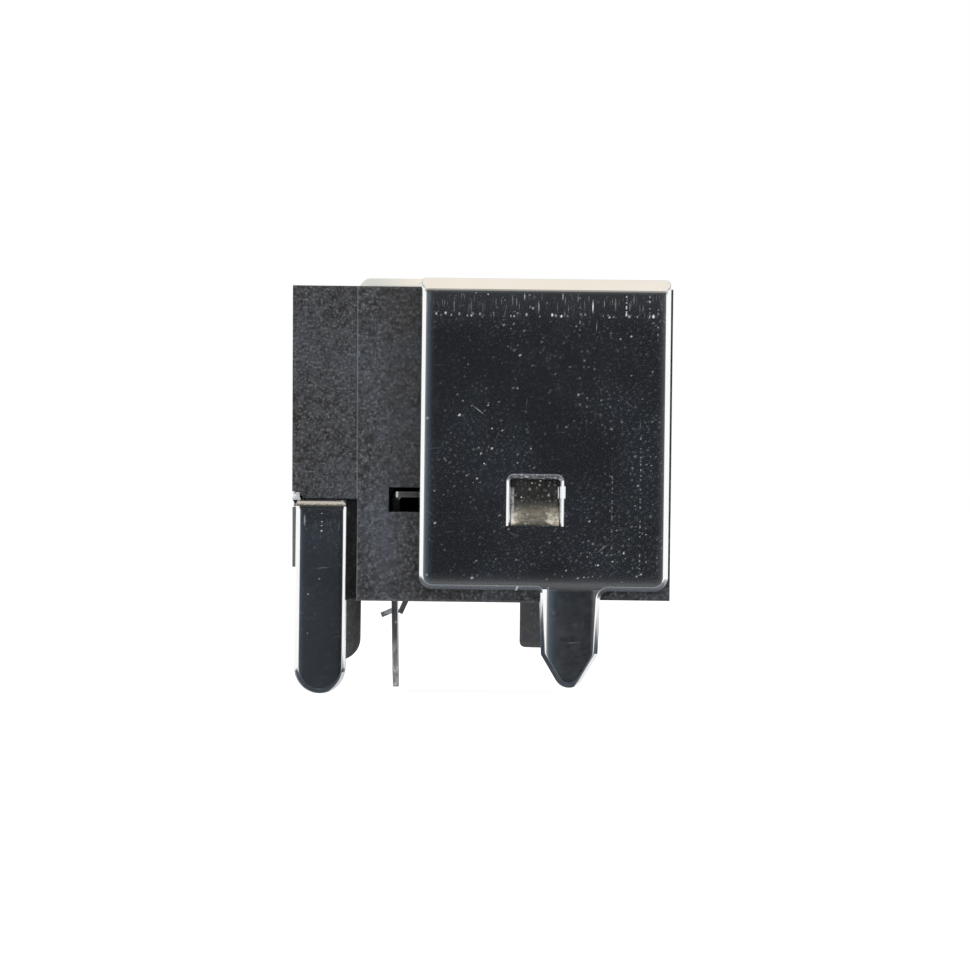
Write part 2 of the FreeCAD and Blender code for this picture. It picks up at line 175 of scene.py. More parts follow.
def cutHighlight(tree, below, weight):
    # Painted highlight on the right-hand cut of a leg's tip, on its faces that look to the front, below the
    # given height
    low = tree.math("LESS_THAN", tree.z, below * mm)
    return tree.times(tree.ramp(tree.facing()[0], 0.25, 0.45), low, weight)


# Each layer: pitch, reach, share, weight, stretch, turn in degrees, move
dustLayers = ((0.27, 0.055, 0.8, 0.011, 1.0, 0.0, 0.11), (0.13, 0.050, 0.9, 0.0115, 1.3, 30.0, 0.23))
scratchLayers = ((0.30, 0.026, 0.3, 0.016, 14.0, 63.0, 0.41),
                 (0.27, 0.024, 0.3, 0.014, 12.0, -38.0, 0.53),
                 (0.25, 0.024, 0.3, 0.014, 16.0, 4.0, 0.67),
                 (0.25, 0.024, 0.3, 0.014, 12.0, 87.0, 0.79))


sheet = {"fine": 1400.0, "cloud": 320.0, "bump": 0.0000006, "darker": 0.97,
         "dust": (0.80, 0.81, 0.82, 1), "film": (0.0040, 0.0058, 0.0085, 1)}


def sheetMetal(name, tint, rough, dustAndHighlightShare=1.0, tilt=None, marksAndHighlights=None, paintedShading=None):
    # Bright metal under a thin film, with dust, scratches, and whatever marks, painted highlights and
    # painted shade it is given
    tree = Tree(name)
    plane = surfacePlane(tree)
    fine = tree.noise(tree.where, sheet["fine"], 4.0, 0.6)
    cloud = tree.noise(tree.where, sheet["cloud"], 3.0, 0.55)
    dust = tree.strongest(*[marks(tree, plane, *layer) for layer in dustLayers + scratchLayers])
    grimeAndHighlights = tree.times(dust, tree.ramp(cloud, 0.38, 0.66, 0.45, 1.6))
    if marksAndHighlights:
        grimeAndHighlights = tree.strongest(grimeAndHighlights, tree.strongest(*marksAndHighlights(tree, plane)))
    grimeAndHighlights = tree.math("MULTIPLY", grimeAndHighlights, dustAndHighlightShare, clamp=True)
    darker = [c * sheet["darker"] for c in tint]
    base = tree.mixed(tree.ramp(cloud, 0.35, 0.7), (*darker, 1), (*tint, 1))
    # Painted light and shade in the base colour, where the piece is given it
    if paintedShading:
        share, colour = paintedShading(tree)
        base = tree.mixed(share, base, (*colour, 1))
    roughness = tree.math("MULTIPLY_ADD", fine, rough * 0.8, rough * 0.6)
    normal = tree.bump(fine, sheet["bump"])
    if tilt:
        lean, rise = tilt(tree)
        shift = tree.node("CombineXYZ", None, X=lean, Z=rise).outputs[0]
        leaned = tree.node("VectorMath", {"operation": "ADD"}, i0=normal, i1=shift).outputs[0]
        normal = tree.node("VectorMath", {"operation": "NORMALIZE"}, i0=leaned).outputs[0]
    metal = tree.node("BsdfPrincipled", None, Base_Color=base, Metallic=1.0, Roughness=roughness,
                      Normal=normal)
    # A pale coat for dust and scratches, which also carries the painted highlights
    dustAndHighlightCoat = tree.node("BsdfDiffuse", None, Color=sheet["dust"], Roughness=0.5)
    film = tree.mixed(tree.ramp(cloud, 0.4, 0.66, 0.05, 1.0), (0, 0, 0, 1), sheet["film"])
    haze = tree.node("BsdfDiffuse", None, Color=film, Roughness=0.5)
    both = tree.node("AddShader", None, i0=metal.outputs[0], i1=haze.outputs[0])
    both = tree.node("MixShader", None, i0=grimeAndHighlights, i1=both.outputs[0], i2=dustAndHighlightCoat.outputs[0])
    return tree.finish(both.outputs[0])


shieldEdges = {
    "rear": -2.2, "front": 6.53, "bottom": 0.43, "top": 11.32, "legRear": 2.115, "legFront": 4.115,
    "roll": 0.17, "bend": 0.42, "rearLean": 0.26, "rearFade": 0.15, "frontLean": 0.24, "frontFade": 0.12,
    "topRise": 0.22, "topFade": 0.07, "legLean": -0.055, "legRise": 0.03,
    # x, lowest z, highest z, weight and place in the noise of each dashed line
    "streaks": ((5.53, 0.6, 5.9, 0.22, 0.1), (4.55, 1.6, 4.7, 0.12, 0.2), (4.97, 10.0, 10.75, 0.5, 0.3),
                (5.78, 10.0, 10.75, 0.4, 0.4), (3.35, 9.3, 10.8, 0.16, 0.6), (6.08, 9.2, 10.3, 0.2, 0.8)),
}


def shieldTilt(tree):
    # Pressed edges: the sheet leans away a little before its rolled rim
    e = shieldEdges
    onLeg = tree.math("LESS_THAN", tree.z, (e["bottom"] + 0.05) * mm)
    left = tree.math("MULTIPLY_ADD", onLeg, (e["legRear"] - e["rear"]) * mm, e["rear"] * mm)
    right = tree.math("MULTIPLY_ADD", onLeg, (e["legFront"] - e["front"]) * mm, e["front"] * mm)
    fromLeft = tree.math("SUBTRACT", tree.math("SUBTRACT", tree.x, left), e["roll"] * mm)
    fromRight = tree.math("SUBTRACT", tree.math("SUBTRACT", right, tree.x), e["roll"] * mm)
    fromTop = tree.math("SUBTRACT", (e["top"] - e["bend"]) * mm, tree.z)
    lean = tree.math("SUBTRACT", fallOff(tree, fromRight, e["frontFade"], e["frontLean"]),
                     fallOff(tree, fromLeft, e["rearFade"], e["rearLean"]))
    lean = tree.math("MULTIPLY_ADD", onLeg, e["legLean"], lean)
    rise = fallOff(tree, fromTop, e["topFade"], e["topRise"])
    rise = tree.math("MULTIPLY_ADD", onLeg, e["legRise"], rise)
    flat = onSides(tree)
    return tree.times(lean, flat), tree.times(rise, flat)


def shieldMarksAndHighlights(tree, plane):
    # Upright die marks below the top bend, a row of dents where they end and a haze towards the top; a
    # painted reflection along the rolled bottom rim, and painted highlights on the legs' cut and at the
    # window
    e = shieldEdges
    drawn = tree.times(marks(tree, plane, 0.09, 0.032, 0.7, 0.05, 8.0, 90.0, 0.91),
                       inside(tree, tree.z, 10.02, 10.8, 0.12))
    dents = tree.times(marks(tree, plane, 0.17, 0.055, 0.8, 0.20, 1.6, 90.0, 0.73),
                       inside(tree, tree.z, 9.98, 10.12, 0.03))
    lines = [tree.times(streak(tree, x, low, high, 0.035, 0.11, move), weight)
             for x, low, high, weight, move in e["streaks"]]
    topHaze = tree.ramp(tree.z, 9.4 * mm, 10.9 * mm, 0.0, 0.016)
    # Painted reflection of the floor along the rolled bottom rim
    fromLow = tree.math("SUBTRACT", tree.z, (e["bottom"] + 0.25) * mm)
    lowRimReflection = tree.times(fallOff(tree, fromLow, 0.12, 0.085), tree.ramp(tree.z, 0.35 * mm, 0.6 * mm))
    dulled = tree.noise(tree.where, 3000.0, 4.0, 0.7)
    leg = tree.times(tree.ramp(tree.z, 0.6 * mm, 0.1 * mm), inside(tree, tree.x, 2.45, 4.2, 0.3),
                     tree.ramp(dulled, 0.3, 0.75, 0.002, 0.034))
    handled = tree.times(area(tree, (3.9, 6.2), (0.7, 2.9), 0.5, 0.6), tree.strongest(
        marks(tree, plane, 0.14, 0.050, 0.7, 0.017, 1.4, 60.0, 0.37),
        marks(tree, plane, 0.22, 0.030, 0.6, 0.026, 9.0, 40.0, 0.59)))
    return [drawn, dents, *lines, tree.math("ADD", topHaze, lowRimReflection), leg, cutHighlight(tree, -1.75, 0.9),
            handled, *windowHighlightsAndBeads(tree)]


# Each patch: from x to x, from z to z, softness across and up, weight
windowPatches = {
    "dent": ((2.69, 2.915), (3.66, 4.08), 0.02, 0.04, 0.95),
    "rearWall": ((0.96, 1.06), (2.8, 4.05), 0.02, 0.05, 0.45),
    "frontWall": ((2.66, 2.76), (2.75, 3.9), 0.02, 0.05, 0.7),
    "upperRim": ((1.05, 2.8), (4.25, 4.48), 0.04, 0.03, 1.0),
}


def windowHighlightsAndBeads(tree):
    # Painted highlights on the window's cut walls and on a dent in front of it, and pale beads along the
    # upper rim
    plain = [area(tree, *windowPatches[name]) for name in ("dent", "rearWall", "frontWall")]
    beads = tree.ramp(tree.noise(tree.where, 8000.0, 2.0, 0.6), 0.46, 0.66, 0.04, 0.4)
    return [*plain, tree.times(beads, area(tree, *windowPatches["upperRim"]))]


def tonguePaintedReflection(tree):
    # Painted reflection: a cooler base colour on the rear tongue and its fold, where they reflect less of
    # the warm ceiling
    return tree.ramp(tree.x, -2.1 * mm, -4.1 * mm, 0.0, 0.95), (0.73, 0.79, 0.85)


terminalEdges = {"rear": -6.49, "front": -4.69, "roll": 0.16, "side": -4.6, "under": 3.2, "top": 3.22,
                 "fold": 3.43, "fade": 0.05, "edgeLean": 0.12, "topRise": 0.2, "rise": 0.028,
                 "middle": -5.58, "tip": -2.3}


def terminalTilt(tree):
    # The leg leans back a little more the lower it is, and turns away at its rolled edges
    e = terminalEdges
    onLeg = tree.times(tree.math("LESS_THAN", tree.y, e["side"] * mm),
                       tree.math("LESS_THAN", tree.z, e["under"] * mm))
    left = tree.math("SUBTRACT", tree.x, (e["rear"] + e["roll"]) * mm)
    right = tree.math("SUBTRACT", (e["front"] - e["roll"]) * mm, tree.x)
    lean = tree.math("SUBTRACT", fallOff(tree, right, e["fade"], e["edgeLean"]),
                     fallOff(tree, left, e["fade"], e["edgeLean"]))
    lean = tree.math("SUBTRACT", lean, tree.ramp(tree.z, e["under"] * mm, 2.2 * mm, 0.015, 0.038))
    fromTop = tree.math("SUBTRACT", e["top"] * mm, tree.z)
    rise = tree.math("MAXIMUM", e["rise"], fallOff(tree, fromTop, e["fade"], e["topRise"]))
    flat = tree.times(onLeg, onSides(tree))
    return tree.times(lean, flat), tree.times(rise, flat)


def terminalMarksAndHighlights(tree, plane):
    # Die marks under the fold, and painted highlights on the end of its arm, on the tip's rim and on the
    # tip's right-hand cut
    e = terminalEdges
    drawn = tree.times(marks(tree, plane, 0.12, 0.035, 0.5, 0.04, 6.0, 90.0, 0.33),
                       inside(tree, tree.z, 2.4, 3.15, 0.1))
    middle = tree.times(streak(tree, e["middle"], 2.4, 3.15, 0.04, 0.12, 0.2), 0.8)
    armEnd = tree.times(tree.math("LESS_THAN", tree.x, -6.34 * mm),
                        tree.math("GREATER_THAN", tree.z, 3.5 * mm),
                        tree.math("LESS_THAN", tree.y, -4.2 * mm), 0.85)
    side = tree.facing()[1]
    rim = tree.times(tree.ramp(side, -0.9, -0.5), tree.math("LESS_THAN", side, 0.5),
                     tree.math("LESS_THAN", tree.z, e["tip"] * mm),
                     tree.ramp(tree.z, -3.3 * mm, -2.4 * mm, 0.08, 0.5))
    return [drawn, middle, rim, armEnd, cutHighlight(tree, -2.5, 0.95)]


def foldShadeAndTipTint(tree):
    # Painted shade over the top of the fold, with ragged edges and a lighter narrow band, and a brownish
    # tint on the tip's faces that look down and to the rear
    e = terminalEdges
    ragged = tree.noise(tree.stretched((1, 1, 2.2)), 9000.0, 3.0, 0.7)
    off = tree.math("ABSOLUTE", tree.math("SUBTRACT", tree.z, e["fold"] * mm))
    off = tree.math("MULTIPLY_ADD", tree.math("SUBTRACT", ragged, 0.5), 0.22 * mm, off)
    fold = tree.times(tree.ramp(off, 0.04 * mm, 0.11 * mm, 0.45, 0.97),
                      tree.ramp(tree.z, 3.27 * mm, 3.3 * mm), tree.math("LESS_THAN", tree.y, -4.38 * mm))
    turned = tree.facing()
    tip = tree.times(tree.ramp(turned[2], -0.3, -0.5), tree.ramp(turned[0], 0.2, -0.1),
                     tree.math("LESS_THAN", tree.z, e["tip"] * mm), 0.3)
    return tree.strongest(fold, tip), (0.16, 0.155, 0.13)


tabMiddle = 1.80


def tabPaintedShade(tree):
    # Painted shade: the tab's base colour is dark, with a scuffed edge, and left bright as a painted
    # highlight low down, most of all at its two corners
    scuff = tree.ramp(tree.noise(tree.where, 6500.0, 4.0, 0.7), 0.36, 0.66)
    aside = tree.math("ABSOLUTE", tree.math("SUBTRACT", tree.x, tabMiddle * mm))
    arch = tree.math("ADD", tree.z, tree.ramp(aside, 0.25 * mm, 0.8 * mm, -0.12 * mm, 0.04 * mm))
    bare = tree.times(tree.ramp(tree.z, 3.46 * mm, 2.88 * mm), tree.ramp(arch, 2.70 * mm, 2.80 * mm),
                      tree.ramp(aside, 0.25 * mm, 0.8 * mm, 0.35, 1.4),
                      tree.math("MULTIPLY_ADD", scuff, 0.75, 0.3))
    bare = tree.strongest(bare, tree.times(scuff, 0.10))
    return tree.math("SUBTRACT", 1.0, bare, clamp=True), (0.115, 0.115, 0.102)


tabPatches = {"rearEdge": ((0.9, 1.12), (2.80, 4.0), 0.025, 0.05),
              "frontDent": ((2.655, 3.0), (3.66, 4.05), 0.02, 0.03, 0.95)}


def tabHighlightsAndSpecks(tree, plane):
    # Painted highlights on the rear edge and on a dent at the front, and specks under the window's top
    scuff = tree.ramp(tree.noise(tree.where, 9000.0, 3.0, 0.7), 0.38, 0.6)
    rear = tree.times(area(tree, *tabPatches["rearEdge"]), tree.math("MULTIPLY_ADD", scuff, 0.35, 0.25))
    specks = tree.times(marks(tree, plane, 0.17, 0.055, 0.6, 0.09, move=0.47),
                        tree.ramp(tree.z, 3.3 * mm, 3.9 * mm, 0.35, 1.0))
    return [rear, area(tree, *tabPatches["frontDent"]), specks]


def contactSlotShade(tree):
    # Painted shade: darker where it sits in the housing's slot
    inSlot = tree.math("GREATER_THAN", tree.z, 0.3 * mm)
    return tree.times(inSlot, tree.ramp(tree.x, -3.12 * mm, -2.95 * mm, 0.2, 0.85)), (0.16, 0.16, 0.16)


contactPatches = {"tail": ((-3.50, -3.22), (-0.56, -0.2), 0.02, 0.02, 0.95),
                  "slot": ((-3.1, -2.3), (3.55, 3.95), 0.05, 0.05)}


def contactHighlights(tree, plane):
    # Painted highlights low on the blade, on the bent tail and at the bar's end in the slot, with a faint
    # lightening over the slot
    scuff = tree.ramp(tree.noise(tree.stretched((1, 0.6, 0.35)), 9000.0, 3.0, 0.7), 0.42, 0.62)
    low = tree.times(tree.ramp(tree.z, -0.9 * mm, -2.3 * mm, 0.0, 0.5),
                     tree.math("MULTIPLY_ADD", scuff, 0.7, 0.3))
    tail = area(tree, *contactPatches["tail"])
    bent = tree.times(tree.math("LESS_THAN", tree.x, -3.3 * mm),
                      inside(tree, tree.z, -0.7, -0.1, 0.02), 0.3)
    slot = area(tree, *contactPatches["slot"])
    lit = tree.times(tree.ramp(tree.x, -2.90 * mm, -2.96 * mm), slot, 0.55)
    return [low, tail, bent, tree.times(slot, 0.03), lit]


def turnedRings(tree, plane):
    # Fine lathe rings on the pin's two ends
    high = tree.math("SUBTRACT", tree.z, boreAxis * mm)
    flat = tree.node("CombineXYZ", None, Y=tree.y, Z=high).outputs[0]
    far = tree.node("VectorMath", {"operation": "LENGTH"}, i0=flat).outputs["Value"]
    ring = tree.ramp(tree.math("PINGPONG", far, 0.05 * mm), 0.0, 0.05 * mm, 0.0, 0.16)
    return [tree.times(ring, tree.ramp(tree.math("ABSOLUTE", tree.facing()[0]), 0.9, 0.99))]


plastic = {
    "mottle": 4200.0, "fleck": 11000.0, "cloud": 420.0, "bump": 0.000009, "seamX": -4.33, "seamDeg": 0.5,
    "low": (0.012, 0.012, 0.013, 1), "high": (0.048, 0.049, 0.054, 1), "bluish": (0.050, 0.060, 0.082, 1),
    "paleFleck": (0.13, 0.134, 0.146, 1), "darkFleck": (0.006, 0.006, 0.0065, 1),
    "shade": (0.018, 0.017, 0.017, 1), "mist": (0.062, 0.074, 0.100, 1), "seamGlint": (0.16, 0.17, 0.18, 1),
    "pocketShade": (0.010, 0.010, 0.010, 1), "pegs": (0.12, 0.122, 0.13, 1), "strip": (0.20, 0.20, 0.205, 1),
}


def mouldedPlastic():
    p = plastic
    tree = Tree("housingPlastic")
    x, y, z = tree.x, tree.y, tree.z
    sides = tree.math("ABSOLUTE", y)
    recessed = tree.ramp(sides, 4.44 * mm, 4.30 * mm)
    mottle = tree.noise(tree.where, p["mottle"], 3.0, 0.65)
    fleck = tree.noise(tree.where, p["fleck"], 2.0, 0.6)
    cloud = tree.noise(tree.where, p["cloud"], 3.0, 0.6)
    base = tree.mixed(tree.ramp(mottle, 0.32, 0.68), p["low"], p["high"])
    base = tree.mixed(tree.ramp(cloud, 0.42, 0.75, 0.0, 0.55), base, p["bluish"])
    base = tree.mixed(tree.ramp(fleck, 0.5, 0.74, 0.0, 0.8), base, p["paleFleck"])
    base = tree.mixed(tree.ramp(fleck, 0.48, 0.30, 0.0, 0.8), base, p["darkFleck"])
    # Painted shade beside the shield, stronger higher up, with a bluish mist low down
    shade = tree.times(tree.ramp(x, -4.2 * mm, -2.8 * mm, 0.0, 0.45),
                       tree.ramp(z, 1.5 * mm, 5.0 * mm, 0.4, 1.0))
    base = tree.mixed(shade, base, p["shade"])
    base = tree.mixed(area(tree, (-3.75, -3.1), (0.4, 3.6), 0.5, 1.2, 0.35), base, p["mist"])
    # Painted highlight along the witness line where the rear block ends, half a degree off upright
    seamGlint = tree.math("MULTIPLY_ADD", z, -math.tan(math.radians(p["seamDeg"])), p["seamX"] * mm)
    seamGlint = tree.ramp(tree.math("ABSOLUTE", tree.math("SUBTRACT", x, seamGlint)), 0.01 * mm, 0.04 * mm, 0.4, 0.0)
    seamGlint = tree.times(seamGlint, tree.math("GREATER_THAN", sides, 4.4 * mm))
    base = tree.mixed(seamGlint, base, p["seamGlint"])
    # Painted shade in the pocket in front of the terminal, painted light on the pegs, and the painted lit
    # wall behind it
    pocketShade = tree.times(area(tree, (-4.9, -4.30), (0.03, 3.9), 0.01, 0.01), recessed, 0.7)
    base = tree.mixed(pocketShade, base, p["pocketShade"])
    base = tree.mixed(tree.ramp(z, 0.12 * mm, -0.02 * mm, 0.0, 0.4), base, p["pegs"])
    strip = tree.times(tree.math("LESS_THAN", x, -6.42 * mm), tree.math("LESS_THAN", z, 3.35 * mm),
                       recessed, onSides(tree), 0.8)
    base = tree.mixed(strip, base, p["strip"])
    relief = tree.math("MULTIPLY_ADD", fleck, 0.5, mottle)
    body = tree.node("BsdfPrincipled", None, Base_Color=base, Normal=tree.bump(relief, p["bump"], 0.8),
                     Roughness=tree.math("MULTIPLY_ADD", mottle, 0.2, 0.5))
    return tree.finish(body.outputs[0])


materials = {
    "shield": sheetMetal("shieldSheet", (0.97, 0.975, 0.975), 0.06, tilt=shieldTilt, marksAndHighlights=shieldMarksAndHighlights,
                         paintedShading=tonguePaintedReflection),
    # Painted light: the tab's cream tint stands for the warm ceiling it reflects
    "tab": sheetMetal("latchTabPaintedLight", (0.84, 0.80, 0.72), 0.36, marksAndHighlights=tabHighlightsAndSpecks, paintedShading=tabPaintedShade),
    "terminal": sheetMetal("terminalTin", (0.96, 0.965, 0.97), 0.08, dustAndHighlightShare=0.7, tilt=terminalTilt,
                           marksAndHighlights=terminalMarksAndHighlights, paintedShading=foldShadeAndTipTint),
    "contact": sheetMetal("contactPlate", (0.42, 0.42, 0.41), 0.34, marksAndHighlights=contactHighlights, paintedShading=contactSlotShade),
    "pin": sheetMetal("pinPlate", (0.80, 0.80, 0.79), 0.18, dustAndHighlightShare=0.6, marksAndHighlights=turnedRings),
    "plastic": mouldedPlastic(),
}
print("materials made")


# Pieces
def turnOutward(shell):
    # Each island's volume decides, because a folded strip can come out of the operator inside out
    shell.normal_update()
    bmesh.ops.recalc_face_normals(shell, faces=shell.faces)
    left = set(shell.faces)
    while left:
        island = [left.pop()]
        for face in island:
            for other in [f for edge in face.edges for f in edge.link_faces]:
                if other in left:
                    left.remove(other)
                    island.append(other)
        if sum(f.calc_center_median().dot(f.normal) * f.calc_area() for f in island) < 0:
            bmesh.ops.reverse_faces(shell, faces=island)


def place(shell, name, materialList, sharpDeg, node, slotName, wear=None):
    # Makes the piece from a shell in millimetres. Wear is the width of its worn edges
    mesh = bpy.data.meshes.new(name)
    for material in materialList:
        mesh.materials.append(material)
    turnOutward(shell)
    if wear:
        sharp = [e for e in shell.edges if len(e.link_faces) == 2
                 and e.calc_face_angle() > math.radians(sharpDeg)]
        bmesh.ops.bevel(shell, geom=sharp, offset=wear, offset_type="OFFSET", affect="EDGES",
                        segments=2, profile=0.5, clamp_overlap=True, material=-1)
    for face in shell.faces:
        face.smooth = True
    bmesh.ops.scale(shell, vec=(mm, mm, mm), verts=shell.verts)
    shell.to_mesh(mesh)
    shell.free()
    mesh.set_sharp_from_angle(angle=math.radians(sharpDeg))
    piece = bpy.data.objects.new(name, mesh)
    scene.collection.objects.link(piece)
    even = piece.modifiers.new("evenNormals", "WEIGHTED_NORMAL")
    even.keep_sharp = True
    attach(piece, "root")
    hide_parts(node)
    return piece


def copyOf(node, weld=0.0002, flatDeg=0.3):
    # The solid's own mesh in millimetres, without the lines across its flat faces
    shell = bmesh.new()
    shell.from_mesh(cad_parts[node].data)
    bmesh.ops.scale(shell, vec=(1 / mm, 1 / mm, 1 / mm), verts=shell.verts)
    bmesh.ops.remove_doubles(shell, verts=shell.verts, dist=weld)
    bmesh.ops.dissolve_limit(shell, angle_limit=math.radians(flatDeg), verts=shell.verts,
                             edges=shell.edges)
    return shell


def rounded(corners, steps=10):
    # A closed outline from corners (u, s, radius); a corner without radius stays as it is
    points = []
    count = len(corners)
    for index, (u, s, radius) in enumerate(corners):
        at = Vector((u, s))
        if not radius:
            points.append(at)
            continue
        before = (Vector(corners[index - 1][:2]) - at).normalized()
        after = (Vector(corners[(index + 1) % count][:2]) - at).normalized()
        half = before.angle(after) / 2
        centre = at + (before + after).normalized() * radius / math.sin(half)
        first = at + before * radius / math.tan(half) - centre
        last = at + after * radius / math.tan(half) - centre
        sweep = first.angle_signed(last)
        for step in range(steps + 1):
            turn = Matrix.Rotation(-sweep * step / steps, 2)
            points.append(centre + turn @ first)
    return points


def plate(shell, loops, faces, thickness, roll, kept, steps=7):
    # A flat blank in (u, s, depth). The loops' outer edges are rolled, apart from those kept
    outer = [[shell.verts.new((*p, 0)) for p in loop] for loop in loops]
    inner = [[shell.verts.new((*p, thickness)) for p in loop] for loop in loops]
    for corners in faces:
        shell.faces.new([outer[loop][index] for loop, index in corners])
        shell.faces.new([inner[loop][index] for loop, index in reversed(corners)])
    rolled = []
    for loop, (top, low) in enumerate(zip(outer, inner)):
        for index in range(len(top)):
            other = (index + 1) % len(top)
            shell.faces.new([top[index], top[other], low[other], low[index]])
            if (loop, index) not in kept:
                rolled.append(shell.edges.get((top[index], top[other])))
    bmesh.ops.recalc_face_normals(shell, faces=shell.faces)
    bmesh.ops.bevel(shell, geom=rolled, offset=roll, offset_type="OFFSET", affect="EDGES",
                    segments=steps, profile=0.5, clamp_overlap=False, material=-1)


def cutAcross(shell, start, end, steps, axis):
    # Even cuts across the blank where it bends
    normal = [0, 0, 0]
    normal[axis] = 1
    for step in range(steps + 1):
        at = [0, 0, 0]
        at[axis] = start + (end - start) * step / steps
        parts = shell.verts[:] + shell.edges[:] + shell.faces[:]
        bmesh.ops.bisect_plane(shell, geom=parts, plane_co=at, plane_no=normal, dist=1e-5)


def overBend(s, depth, start, radius, side, top):
    # Up a side's outer face, round a bend and on level: from (s, depth) to (y, z)
    if s <= start:
        return side + depth, s
    turn = (s - start) / radius
    if turn <= math.pi / 2:
        reach = radius - depth
        return side + radius - reach * math.cos(turn), start + reach * math.sin(turn)
    return side + radius + (s - start - radius * math.pi / 2), top - depth


shieldSize = {
    "rear": -2.2, "front": 6.53, "bottom": 0.43, "top": 11.32, "side": -4.82, "thickness": 0.3,
    "bend": 0.39, "roll": 0.18, "corner": 0.52, "leg": 3.115, "root": 1.08, "waist": 0.99,
    "shoulder": -1.8, "apex": -3.461, "tip": 0.536, "windowX": 1.862, "windowHalf": 0.865,
    "windowLow": 2.68, "windowHigh": 4.34, "tongueY": 3.0, "tongueEnd": -5.1,
    "tongueBend": -3.995, "tongueRadius": 0.38, "tongueDeg": 52,
}


def shieldPiece():
    z = shieldSize
    bendStart = z["top"] - z["bend"]
    arc = z["bend"] * math.pi / 2
    total = 2 * bendStart + 2 * arc + 2 * (-z["side"] - z["bend"])
    leg = [(z["leg"] - z["root"], z["bottom"], 0.1), (z["leg"] - z["waist"], z["shoulder"], 0),
           (z["leg"], z["apex"], z["tip"]), (z["leg"] + z["waist"], z["shoulder"], 0),
           (z["leg"] + z["root"], z["bottom"], 0.3)]
    lowNear = [(z["rear"], z["windowLow"], 0), (z["rear"], z["bottom"], z["corner"]), *leg,
               (z["front"], z["bottom"], z["corner"]), (z["front"], z["windowLow"], 0)]
    lowFar = [(u, total - s, r) for u, s, r in reversed(lowNear)]
    tongue = [(z["rear"], total / 2 + z["tongueY"], 0.1), (z["tongueEnd"], total / 2 + z["tongueY"], 0),
              (z["tongueEnd"], total / 2 - z["tongueY"], 0), (z["rear"], total / 2 - z["tongueY"], 0.1)]
    outline = rounded(lowNear + lowFar + tongue)
    left, right = z["windowX"] - z["windowHalf"], z["windowX"] + z["windowHalf"]
    window = rounded([(left, z["windowLow"], 0), (left, z["windowHigh"], 0.12),
                      (right, z["windowHigh"], 0.12), (right, z["windowLow"], 0)])
    farWindow = [Vector((p.x, total - p.y)) for p in window]
    count = len(outline)
    last = len(window) - 1

    def find(u, s):
        return min(range(count), key=lambda i: (outline[i] - Vector((u, s))).length)

    def walk(a, b):
        return [(0, i % count) for i in range(a, b + 1 + (count if b < a else 0))]

    # The blank is three faces, cut level with the windows' lower edges
    nearRear, nearFront = find(z["rear"], z["windowLow"]), find(z["front"], z["windowLow"])
    farRear, farFront = find(z["rear"], total - z["windowLow"]), find(z["front"], total - z["windowLow"])
    faces = [walk(nearRear, nearFront) + [(1, last), (1, 0)],
             walk(nearFront, farFront) + [(2, last - i) for i in range(last + 1)]
             + walk(farRear, nearRear) + [(1, i) for i in range(last + 1)],
             walk(farFront, farRear) + [(2, 0), (2, last)]]
    shell = bmesh.new()
    plate(shell, [outline, window, farWindow], faces, z["thickness"], z["roll"], {(1, last), (2, last)})
    for start in (bendStart, total - bendStart - arc):
        cutAcross(shell, start, start + arc, 10, 1)
    fold = z["tongueRadius"] * math.radians(z["tongueDeg"])
    cutAcross(shell, z["tongueBend"] - fold, z["tongueBend"], 8, 0)
    for vert in shell.verts:
        u, s, depth = vert.co
        drop = 0
        if u < z["tongueBend"]:
            turn = min((z["tongueBend"] - u) / z["tongueRadius"], math.radians(z["tongueDeg"]))
            rest = z["tongueBend"] - u - turn * z["tongueRadius"]
            reach = z["tongueRadius"] - depth
            u = z["tongueBend"] - reach * math.sin(turn) - rest * math.cos(turn)
            drop = (z["tongueRadius"] - reach * math.cos(turn) + rest * math.sin(turn)) - depth
        far = s > total / 2
        y, height = overBend(total - s if far else s, depth, bendStart, z["bend"], z["side"], z["top"])
        vert.co = (u, -y if far else y, height - drop)
    for sign in (1, -1):
        addTab(shell, z, sign)
    return place(shell, "shieldSheet", [materials["shield"], materials["tab"]], 35, "shield",
                 "plated_sheet")


tabSize = {"half": 0.845, "root": 2.43, "bend": 2.74, "offset": 0.42, "ramp": 0.46, "top": 4.28,
           "lowRadius": 0.21, "highRadius": 1.05, "skin": 0.002, "edge": 0.03, "steps": 12}


